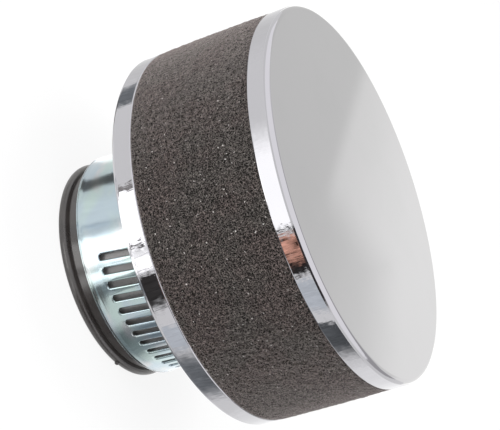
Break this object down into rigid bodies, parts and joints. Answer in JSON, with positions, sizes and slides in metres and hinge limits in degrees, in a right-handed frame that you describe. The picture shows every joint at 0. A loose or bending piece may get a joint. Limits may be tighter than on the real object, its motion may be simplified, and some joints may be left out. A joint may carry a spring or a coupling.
{
  "type": "performance air filter",
  "caption": "Clamp-on intake air filter: round foam sleeve between two chromed plates, on a rubber neck tightened by a worm-drive clamp.",
  "frame": {"origin": "centre of the neck's mouth, where the filter stands and where the intake pipe enters", "axes": "+Z along the filter's axis from the neck's mouth to the closed cap; +Y towards the clamp's worm housing"},
  "size_m": [0.085, 0.085, 0.061],
  "materials": {
    "chrome_plate": "bright plated",
    "filter_foam": "open-cell foam",
    "cage_steel": "galvanised",
    "neck_rubber": "moulded, satin",
    "zinc_plate": "blue zinc plated",
    "screw_steel": "zinc plated"
  },
  "bodies": {
    "filter": {"end_cap": "chrome_plate", "base_plate": "chrome_plate", "foam_element": "filter_foam", "inner_cage": "cage_steel", "neck_sleeve": "neck_rubber", "clamp_band": "zinc_plate", "clamp_housing": "zinc_plate"},
    "worm": {"clamp_screw": "screw_steel"}
  },
  "joints": [
    {"name": "screw_turn", "type": "hinge", "parent": "filter", "child": "worm", "pos_m": [0, 0.0297, 0.0135], "axis": [1, 0, 0], "continuous": true}
  ]
}
